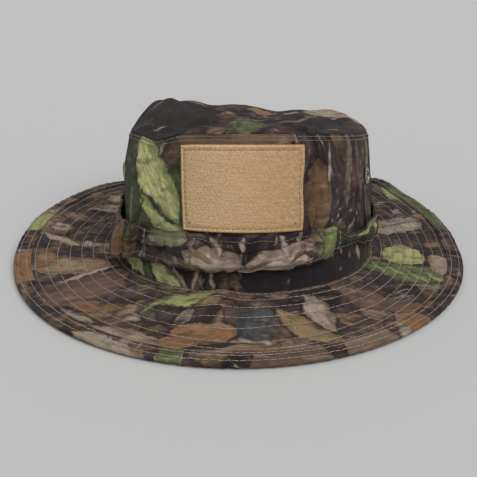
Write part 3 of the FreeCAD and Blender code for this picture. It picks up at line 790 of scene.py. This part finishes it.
WALL_MARKS = (
    ((-74, 54), 0, 84, 62, 0.0, 6, paint(90, 102, 70), paint(62, 72, 50), 0.0, 0.3),
    ((-52, 62), -50, 56, 24, 0.1, 3, GREEN, DARK_GREEN, 0.1, 0.3),
    ((-64, 58), -42, 62, 28, 0.1, 3, paint(222, 220, 162), paint(168, 174, 114), 0.0, 0.3),
    ((-54, 37), -20, 46, 14, 0.1, 2, PALE_GREEN, paint(132, 144, 88), 0.0, 0.4),
    ((-58, 43), -22, 44, 4, 0.3, 2, DARK_GREEN, DARK_GREEN, 0.0, 0.0),
    ((-90, 36), 84, 28, 8, 0.0, 2, paint(178, 184, 128), GREEN, 0.0, 0.3),
    ((-76, 35), 62, 24, 5, 0.4, 2, DARK_GREEN, BARK_DARK, 0.0, 0.2),
    ((-57, 76), 60, 9, 6, 0.0, 2, BEIGE, TAN, 0.0, 0.4),
    ((-46, 77), 24, 24, 14, 0.0, 3, BROWN, BARK_MID, 0.2, 0.3),
    ((-10, 84), 0, 76, 10, 0.0, 8, paint(122, 98, 74), BROWN, 0.1, 0.2),
    ((43, 51), 92, 42, 19, 0.0, 3, paint(118, 92, 64), paint(82, 64, 50), 0.2, 0.6),
    ((52, 68), 88, 24, 4, 0.2, 2, STREAK, BARK_MID, 0.0, 0.2),
    ((71, 63), 84, 46, 11, 0.2, 3, paint(128, 114, 104), BARK_MID, 0.1, 0.4),
    ((86, 60), 96, 40, 6, 0.2, 3, paint(104, 92, 86), BARK_MID, 0.0, 0.3),
    ((103, 68), 88, 26, 8, 0.0, 3, paint(122, 130, 94), GREEN, 0.2, 0.5),
    ((-78, 7), -8, 42, 10, -0.5, 2, PALE_GREEN, GREEN, 0.3, 0.6),
    ((-62, 7), 80, 16, 9, 0.0, 4, GREEN, DARK_GREEN, 0.3, 0.4),
    ((-49, 6), -32, 34, 14, 0.2, 2, PALE_GREEN, GREEN, 0.4, 0.6),
    ((-37, 5), -52, 18, 3, 0.0, 2, STREAK, BEIGE, 0.0, 0.2),
    ((-28, 6), 78, 13, 3, 0.2, 2, STREAK, BEIGE, 0.0, 0.2),
    ((-18, 7), 96, 12, 3, 0.2, 2, STREAK, BARK_MID, 0.0, 0.2),
    ((38, 7), 0, 84, 17, 0.0, 8, paint(44, 40, 44), BARK_DARK, 0.0, 0.0),
    ((81, 12), -60, 16, 4, 0.0, 2, BEIGE, STREAK, 0.0, 0.2),
    ((165, 50), 75, 60, 22, 0.1, 2, GREEN, DARK_GREEN, 0.6, 0.8),
    ((-160, 46), 110, 56, 18, 0.1, 2, TAN, BROWN, 0.7, 0.8),
    ((225, 40), 60, 50, 20, 0.2, 2, LIGHT_GREEN, GREEN, 0.6, 0.8),
)

TIP_MARKS = (
    ((-46, -4), 90, 176, 70, 0.0, 3, paint(42, 36, 36), paint(16, 13, 14), 0.0, 0.0),
    ((46, -42), 84, 90, 56, 0.0, 3, paint(54, 47, 48), paint(22, 18, 20), 0.0, 0.0),
    ((5, -46), 88, 98, 32, 0.1, 3, paint(98, 108, 70), paint(58, 68, 46), 0.0, 0.4),
    ((18, 58), 80, 44, 24, 0.0, 4, ORANGE, TAN, 0.2, 0.5),
    ((56, 30), -40, 70, 36, 0.2, 3, BEIGE, TAN, 0.4, 0.6),
    ((34, -4), 24, 34, 4, 0.4, 2, BARK_STREAK, BARK_MID, 0.0, 0.1),
    ((56, -34), 12, 30, 4, 0.4, 2, BARK_STREAK, BARK_MID, 0.0, 0.1),
    ((50, -58), 20, 20, 3, 0.4, 2, STREAK, BARK_MID, 0.0, 0.1),
    ((-54, 34), 60, 20, 3, 0.4, 2, BARK_STREAK, BARK_MID, 0.0, 0.1),
    ((-60, -12), 60, 26, 3, 0.3, 2, BARK_STREAK, BARK_MID, 0.0, 0.1),
    ((-46, -30), 66, 22, 3, 0.2, 2, STREAK, BARK_MID, 0.0, 0.1),
    ((-32, 62), 10, 26, 5, 0.3, 2, BARK_STREAK, BARK_MID, 0.0, 0.1),
)

BAND_MARKS = (
    ((-87, 22), 86, 26, 13, 0.0, 4, ORANGE, TAN, 0.2, 0.4),
    ((-77, 22), 80, 26, 6, 0.0, 3, OLIVE, DARK_GREEN, 0.2, 0.4),
    ((-57, 27), 88, 14, 5, 0.0, 3, GREEN, DARK_GREEN, 0.2, 0.3),
    ((-46, 29), 4, 28, 9, 0.0, 4, paint(152, 150, 122), paint(98, 102, 68), 0.0, 0.4),
    # Two pale strips on the band's lower fold: pale print with painted light, lighter where the fold faces
    # up and out.
    ((-17, 19), -13, 36, 12, 0.1, 4, paint(206, 192, 170), paint(146, 124, 108), 0.2, 0.3),
    ((17, 18), 15, 45, 14, -0.1, 4, paint(206, 186, 168), paint(138, 114, 100), 0.2, 0.3),
    ((27, 21), 40, 13, 4, 0.0, 2, BROWN, BARK_MID, 0.0, 0.0),
    ((33, 20), -35, 10, 4, 0.0, 2, BARK_MID, BARK_DARK, 0.0, 0.0),
    ((7, 17), 30, 12, 3, 0.0, 2, BROWN, BARK_MID, 0.0, 0.0),
    ((-22, 22), -25, 15, 4, 0.0, 2, TAN, BROWN, 0.0, 0.0),
    ((46, 24), 84, 26, 16, 0.0, 4, paint(138, 146, 96), paint(94, 98, 60), 0.1, 0.4),
    # A dark green block over the band's twisted right loop: dark green print with painted shade of the
    # loop's outer face.
    ((76, 22), 0, 50, 26, 0.0, 6, paint(62, 72, 54), paint(44, 52, 40), 0.2, 0.2),
    ((82, 30), 6, 26, 6, -0.3, 2, paint(176, 186, 122), LIGHT_GREEN, 0.1, 0.2),
    ((93, 24), -72, 18, 5, 0.0, 2, LIGHT_GREEN, GREEN, 0.1, 0.2),
    ((20, 29), 96, 12, 4, 0.0, 3, STREAK, BARK_MID, 0.0, 0.1),
    ((-2, 29), 84, 13, 4, 0.0, 3, STREAK, BARK_MID, 0.0, 0.1),
    ((-16, 29), -60, 14, 4, 0.0, 3, STREAK, BARK_MID, 0.0, 0.1),
    ((190, 22), 0, 50, 14, 0.3, 2, LIGHT_GREEN, GREEN, 0.5, 0.7),
    ((-180, 22), 10, 46, 14, 0.2, 2, BEIGE, TAN, 0.5, 0.7),
)

BINDING_MARKS = (
    ((-262, 10), 0, 34, 40, 0.0, 4, LIGHT_GREEN, GREEN, 0.1, 0.3),
    ((-193, 10), 0, 44, 40, 0.0, 6, ORANGE, TAN, 0.1, 0.3),
    ((-37, 10), 0, 14, 40, 0.0, 6, GREEN, LIGHT_GREEN, 0.1, 0.2),
    ((-74, 10), 4, 50, 14, 0.0, 3, BEIGE, TAN, 0.2, 0.4),
    ((28, 10), 0, 44, 40, 0.0, 6, paint(108, 88, 74), BROWN, 0.1, 0.2),
    ((76, 10), 0, 34, 40, 0.0, 6, paint(132, 112, 90), BROWN, 0.1, 0.2),
    ((112, 10), 0, 18, 40, 0.0, 6, ORANGE, BROWN, 0.1, 0.3),
    ((292, 10), 0, 84, 40, 0.0, 6, GREEN, DARK_GREEN, 0.2, 0.3),
    ((380, 10), 0, 46, 40, 0.0, 6, DARK_GREEN, GREEN, 0.2, 0.3),
)


# ---- pieces ----

def make_brim(print_front, print_back, print_lower):
    """Two halves in each layer, joined at the sides."""
    shares = np.linspace(0.0, CLOTH_END, 132)
    halves = (("front", -90, 90, print_front), ("back", 90, 270, print_back))
    for layer, drop in (("upper", 0.0), ("lower", BRIM_THICK - CLOTH)):
        for half, first, last, print_upper in halves:
            material = print_upper if layer == "upper" else print_lower
            angles, across = grid(np.linspace(first, last, 431), shares)
            top = brim_point(angles, across, drop)
            low = brim_point(angles, across, drop + CLOTH)
            made = shell("brim_cloth_%s_%s" % (layer, half), top, low, top[..., :2], False)
            finish_piece(made, material, "brim_%s_%s" % (layer, half))


def make_interlining(material):
    angles, across = grid(round_angles(240)[:-1], np.linspace(0, CLOTH_END, 64))
    top = brim_point(angles, across, CLOTH + GAP)
    low = brim_point(angles, across, 2 * CLOTH + GAP)
    cloth = np.concatenate([top, top[:, :1]], 1)[..., :2]
    made = shell("stiff_lining", top, low, cloth, True)
    finish_piece(made, material, "brim_interlining")


def binding_section(thick):
    """The folded strip's line across the edge, as shares of the brim and drops below its face."""
    reach = BRIM_THICK / 2 + thick
    flat = np.linspace(BINDING_SHARE, CLOTH_END, 10)
    bend = np.radians(np.linspace(80, -80, 9))
    shares = np.concatenate([flat, CLOTH_END + reach * np.cos(bend) / BRIM_WIDTH, flat[::-1]])
    middle = BRIM_THICK / 2
    drops = [np.full(10, middle - reach), middle - reach * np.sin(bend), np.full(10, middle + reach)]
    return shares, np.concatenate(drops)


def binding_point(angle, share, drop):
    """On the binding. It ripples a little where the bias strip was eased round the edge."""
    ease = 0.16 * pucker(angle, 0.0, 61, 70, 150) * smooth((share - 0.86) / 0.04)
    place = brim_point(angle, np.minimum(share, CLOTH_END), drop)
    place[..., 2] = np.maximum(place[..., 2] + ease, 0.05)
    beyond = np.maximum(share - CLOTH_END, 0) * BRIM_WIDTH
    place[..., 0] += beyond * sine(angle)
    place[..., 1] -= beyond * cosine(angle)
    return place


def make_binding(material):
    angles = round_angles(1000)
    faces = []
    for thick in (CLOTH + GAP, GAP):
        shares, drops = binding_section(thick)
        faces.append(binding_point(*grid(angles[:-1], shares), drops[:, None]))
    along = np.radians(angles) * (BRIM_HALF_WIDTH + BRIM_HALF_LENGTH) / 2
    cloth = np.stack(grid(along, np.linspace(0, 22, len(shares))), -1)
    made = shell("edge_binding_cloth", faces[0], faces[1], cloth, True)
    finish_piece(made, material, "brim_edge_binding")


def make_brim_stitches(material):
    """Each row shows on both faces of the brim."""
    angles = np.linspace(-180, 180, 3000)
    for number in range(len(ROW_SHARES)):
        share = row_share(number, angles)
        faces = [track(brim_point, angles, share, -1), track(brim_point, angles, share, 1, BRIM_THICK)]
        sew("quilting_thread_%d" % (number + 1), faces, material, "brim_stitch_row_%d" % (number + 1))
    for name, share in BINDING_ROWS:
        faces = [track(binding_point, angles, share, -1, -GAP - CLOTH),
                 track(binding_point, angles, share, 1, BRIM_THICK + GAP + CLOTH)]
        sew("binding_thread_" + name, faces, material, "binding_stitch_" + name)


def make_wall(material):
    angles, shares = round_angles(860), np.linspace(0, 1, 130)
    a, s = grid(angles[:-1], shares)
    foot = -BRIM_THICK * (1 - smooth(s / 0.03))
    outer, inner = wall_point(a, s, 0.0, foot), wall_point(a, s, -WALL, foot)
    keep = np.ones((len(shares) - 1, len(angles) - 1), bool)
    middles = (outer[:-1] + outer[1:] + np.roll(outer, -1, 1)[:-1] + np.roll(outer, -1, 1)[1:]) / 4
    for angle in VENTS.values():
        keep &= np.linalg.norm(middles - wall_point(angle, VENT_SHARE), axis=-1) > VENT_HOLE + 0.6
    a, s = grid(angles, shares)
    cloth = np.stack([arc_length(a), s * (top_height(a) - seam_height(a))], -1)
    made = shell("wall_cloth", outer, inner, cloth, True, keep)
    finish_piece(made, material, "crown_wall")


def make_tip(material):
    """Rings from the seam to the middle, closed there by a small disc on each face."""
    angles, shares = round_angles(540)[:-1], np.concatenate([np.linspace(1, 0.06, 92), [0.02]])
    a, s = grid(angles, shares)
    top, low = tip_point(a, s, CLOTH), tip_point(a, s, 0.0)
    rows, columns = a.shape
    quads = ring_quads(rows, columns)[:(rows - 1) * columns]
    far = rows * columns
    here = np.arange(columns)
    beside = (here + 1) % columns
    rim = np.stack([beside, here, here + far, beside + far], 1)
    faces = np.concatenate([quads, quads[:, ::-1] + far, rim])
    last = (rows - 1) * columns
    discs = [(last + here).tolist(), (far + last + here)[::-1].tolist()]
    points = np.concatenate([top.reshape(-1, 3), low.reshape(-1, 3)])
    order = np.concatenate([faces.ravel(), discs[0], discs[1]])
    made = make_object("tip_cloth", points, faces.tolist() + discs, points[order][:, :2])
    finish_piece(made, material, "crown_tip")


def make_crown_stitches(material):
    angles = np.linspace(-180, 180, 2400)
    for name, below in TOP_ROWS:
        share = 1 - share_above(angles, below + 0.25)
        sew("top_seam_thread_" + name, [track(wall_point, angles, share)], material,
            "crown_topstitch_" + name)
    upright = np.linspace(0.04, 0.9, 300)
    lines = [track(wall_point, angle, upright) for angle in BACK_ROWS]
    sew("back_seam_thread", lines, material, "crown_back_stitching")
    inward = track(wall_point, angles, share_above(angles, 1.25), -1, -WALL - 1.2)
    sew("sweatband_thread", [inward], material, "sweatband_stitching")


def inner_strip(name, low, high, near, thick, material, node, flat):
    """A tape inside the wall between two share functions."""
    angles = round_angles(360)
    a, s = grid(angles[:-1], np.linspace(0, 1, 26))
    share = low(a) + (high(a) - low(a)) * s
    outer = wall_point(a, share, -WALL - near)
    inner = wall_point(a, share, -WALL - near - thick - 0.1 * pucker(a, s, 71, 40, 90))
    a, s = grid(angles, np.linspace(0, 1, 26))
    cloth = np.stack([arc_length(a), s * flat[1] / MM], -1)
    made = shell(name, outer, inner, cloth, True)
    finish_piece(made, material, node)


def on_panel(across, up, out):
    """Shares across and up the panel, which is wider at its top and has a wavy right edge."""
    left, right = PANEL_LEFT - LEFT_LEAN * up, PANEL_RIGHT + RIGHT_LEAN * up
    wavy = 0.35 * np.sin(9 * up) * smooth((across - 0.8) / 0.2)
    angle = left + (right - left) * across + wavy
    return wall_point(angle, PANEL_LOW + (PANEL_HIGH - PANEL_LOW) * up, out)


def panel_point(across, up, out=0.0):
    """On the pile panel. The pile is pressed down under its stitching and along its edges."""
    across, up = together(across, up)
    from_side = np.minimum(across, 1 - across) * PANEL_WIDTH
    from_end = np.minimum(up, 1 - up) * PANEL_HEIGHT
    inset = np.minimum(from_side, from_end)
    pressed = 0.35 * np.exp(-((inset - PANEL_INSET) / 0.8) ** 2) + 0.7 * smooth((0.8 - inset) / 0.8)
    return on_panel(across, up, PANEL_NEAR + PANEL_THICK + out - pressed)


def make_panel(material, thread):
    a, u = grid(np.linspace(0, 1, 300), np.linspace(0, 1, 210))
    front = panel_point(a, u)
    x, z = front[..., 0], front[..., 2]
    curls = ripple(x, 0, z, 1.2, 81) + ripple(x, 0, z, 0.8, 82)
    front = panel_point(a, u, 0.05 * curls)
    back = on_panel(a, u, PANEL_NEAR)
    cloth = np.stack([(a - 0.5) * PANEL_WIDTH, u * PANEL_HEIGHT], -1)
    made = shell("pile_panel", front, back, cloth, False, crease=80)
    finish_piece(made, material, "loop_panel")
    side, end = PANEL_INSET / PANEL_WIDTH, PANEL_INSET / PANEL_HEIGHT
    run = np.linspace(0, 1, 400)
    along, upward = side + (1 - 2 * side) * run, end + (1 - 2 * end) * run
    lines = [track(panel_point, along, up) for up in (end, 1 - end)]
    lines += [track(panel_point, across, upward) for across in (side, 1 - side)]
    for across in (2 * side, 1 - 2 * side):
        for row in (-0.5, 0.0, 0.5):
            bar = np.linspace(across - PANEL_TACK, across + PANEL_TACK, 60)
            lines.append(track(panel_point, bar, 2 * end + row / PANEL_HEIGHT))
    sew("panel_thread", lines, thread, "loop_panel_stitching", 2.4, 0.4, 0.2)


def make_band(material, thread):
    angles, across = round_angles(1100), np.linspace(-1, 1, 58)
    a, w = grid(angles[:-1], across)
    hem = 0.35 * smooth((np.abs(w) - 0.72) / 0.1)
    outer, inner = band_point(a, w, 0.8 + hem), band_point(a, w, 0.0)
    a, w = grid(angles, across)
    cloth = np.stack([arc_length(a), BAND_MIDDLE + BAND_HALF * w], -1)
    made = shell("foliage_band_cloth", outer, inner, cloth, True)
    finish_piece(made, material, "foliage_band")
    line, bar, above = np.linspace(-180, 180, 2400), np.linspace(-0.85, 0.85, 80), 1.1
    lines = [track(band_point, line, edge, 1, above) for edge in (-BAND_HEM, BAND_HEM)]
    for angle in BAND_TACKS:
        for step in np.linspace(-0.3, 0.3, 3):
            lines.append(track(band_point, angle + step, bar, 1, above))
    sew("band_thread", lines + frayed_ends(), thread, "foliage_band_tacks", length=2.6, gap=0.4)


def frayed_ends():
    """Four loose ends that curl out over the top of the left loop."""
    root = band_point(-62.0, 1.0, 1.0)
    lines = []
    for number, (spread, rise) in enumerate(((-6, 5), (-8, 2), (-3, 7), (-7, -1))):
        run = np.linspace(0, 1, 60)
        curl = np.sin(run * 3 + number)
        points = np.stack([root[0] + spread * run, root[1] - 5 * run * (0.5 + 0.2 * number) + curl,
                           root[2] + rise * run + curl], -1)
        for ply in (0.0, 0.3):
            lines.append((points + [ply, 0, ply], np.tile([0.0, -1.0, 0.0], (60, 1))))
    return lines


def vent_frame(angle):
    """A vent's middle on the wall, and its outward, sideways and upward directions."""
    here, outward = track(wall_point, np.array([float(angle)]), np.array([VENT_SHARE]))
    here, outward = here[0], outward[0]
    side = np.cross([0, 0, 1], outward)
    side = side / np.linalg.norm(side)
    return here, outward, side, np.cross(outward, side)


def turned_ring(name, angle, profile):
    """A closed profile of (radius, height) corners turned about a vent's axis."""
    here, outward, side, upward = vent_frame(angle)
    steps = np.linspace(0, WHOLE_TURN, 65)[:-1]
    radius, height = (np.array(column)[:, None] for column in zip(*profile))
    round_axis = side * np.cos(steps)[None, :, None] + upward * np.sin(steps)[None, :, None]
    points = here + outward * height[..., None] + radius[..., None] * round_axis
    faces = ring_quads(*points.shape[:2])
    row, column = np.divmod(np.arange(len(faces)), points.shape[1])
    cloth = np.stack([column * 0.5, row * 0.8], -1)[:, None, :].repeat(4, 1)
    return make_object(name, points.reshape(-1, 3), faces, cloth, crease=40)


def make_vents(material):
    eyelet = [(2.6, -1.5), (3.0, -1.5), (3.0, 0.25), (5.0, 0.2), (5.2, 0.35), (5.0, 0.55), (4.2, 0.9),
              (3.4, 1.0), (2.8, 0.8), (2.6, 0.4)]
    washer = [(3.05, -1.8), (5.0, -1.8), (5.2, -1.65), (5.0, -1.3), (3.05, -1.3)]
    for place, angle in VENTS.items():
        made = turned_ring("eyelet_" + place, angle, eyelet)
        finish_piece(made, material, "vent_eyelet_" + place)
        made = turned_ring("washer_" + place, angle, washer)
        finish_piece(made, material, "vent_washer_" + place)


# ---- the stage ----

CAMERA_RAISED, CAMERA_AWAY = 21.6, 0.52    # degrees above the table, metres from the origin
LENS, LENS_SHIFT = 58.26, 0.0143


def make_camera():
    """Straight on from the front, looking at the origin."""
    data = bpy.data.cameras.new("camera")
    data.sensor_width = 36
    data.lens = LENS
    data.shift_y = LENS_SHIFT
    made = add_object("camera", data)
    raised = math.radians(CAMERA_RAISED)
    made.location = (0, -CAMERA_AWAY * math.cos(raised), CAMERA_AWAY * math.sin(raised))
    made.rotation_euler = (-made.location).to_track_quat("-Z", "Y").to_euler()
    bpy.context.scene.camera = made


def make_light(name, toward, softness, power):
    """A soft light from a direction, so that the floor is as bright near as far."""
    data = bpy.data.lights.new(name, "SUN")
    data.angle = math.radians(softness)
    data.energy = power
    made = add_object(name, data)
    made.location = toward
    made.rotation_euler = Vector(toward).to_track_quat("Z", "Y").to_euler()


def make_stage():
    mesh = bpy.data.meshes.new("floor")
    reach = 6.0
    mesh.from_pydata([(-reach, -reach, 0), (reach, -reach, 0), (reach, reach, 0), (-reach, reach, 0)],
                     [], [(0, 1, 2, 3)])
    floor = add_object("floor", mesh)
    floor.location.z = -0.0002
    material = bpy.data.materials.new("pale floor")
    material.use_nodes = True
    shader = material.node_tree.nodes["Principled BSDF"]
    shader.inputs["Base Color"].default_value = paint(178, 178, 176)
    shader.inputs["Roughness"].default_value = 0.9
    mesh.materials.append(material)
    world = bpy.data.worlds.new("pale room")
    world.use_nodes = True
    world.node_tree.nodes["Background"].inputs[0].default_value = (0.95, 0.97, 1.0, 1)
    world.node_tree.nodes["Background"].inputs[1].default_value = 0.55
    bpy.context.scene.world = world
    make_light("key", (0.35, -0.6, 0.75), softness=50, power=2.65)
    bpy.context.scene.view_settings.view_transform = "Standard"


make_camera()
make_stage()

front_marks = [mark for mark in BRIM_MARKS if mark[0][1] < 30]
back_marks = [mark for mark in BRIM_MARKS if mark[0][1] > -45]
brim_front_print = printed_cloth("brim front print", front_marks, heading=20, litter_share=0.75, shift=0)
brim_back_print = printed_cloth("brim back print", back_marks, heading=20, litter_share=0.75, shift=0)
lower_print = printed_cloth("lower brim print", (), heading=20, litter_share=0.6, shift=310)
wall_print = printed_cloth("wall print", WALL_MARKS, heading=86, litter_share=0.1, shift=40)
tip_print = printed_cloth("tip print", TIP_MARKS, heading=30, litter_share=0.3, shift=140)
band_print_with_painted_light_and_shade = printed_cloth("band print with painted light and shade", BAND_MARKS, heading=80, litter_share=0.3, shift=220)
binding_print = printed_cloth("binding print", BINDING_MARKS, heading=30, litter_share=0.6, shift=520)
THREAD = {"pitch": 0.45, "sheen": 0.1, "bump_depth": 0.0001}
pale_thread = plain_cloth("pale thread", paint(182, 166, 154), paint(138, 122, 110), **THREAD)
crown_thread = plain_cloth("crown thread", paint(152, 138, 126), paint(108, 94, 84), **THREAD)
tan_thread = plain_cloth("tan thread", paint(172, 140, 100), paint(142, 112, 76), **THREAD)
lining = plain_cloth("lining tape", paint(88, 88, 66), paint(60, 62, 46), pitch=0.9, sheen=0.25)
stiffener = plain_cloth("stiffener", paint(196, 192, 182), paint(170, 166, 156), pitch=0.8, sheen=0.1)

make_wall(wall_print)
make_tip(tip_print)
make_brim(brim_front_print, brim_back_print, lower_print)
make_interlining(stiffener)
make_binding(binding_print)
make_brim_stitches(pale_thread)
make_crown_stitches(crown_thread)
inner_strip("sweat_tape", lambda a: share_above(a, -1.9), lambda a: share_above(a, 30), 0.4, 0.8,
            lining, "sweatband", (0.54, 0.032))
inner_strip("top_seam_tape", lambda a: 1 - share_above(a, 10), lambda a: 1 - share_above(a, 0.3), 0.15, 0.6,
            lining, "crown_seam_tape", (0.51, 0.01))
make_panel(pile_material(), tan_thread)
make_band(band_print_with_painted_light_and_shade, crown_thread)
make_vents(metal_material())

bpy.context.view_layer.update()
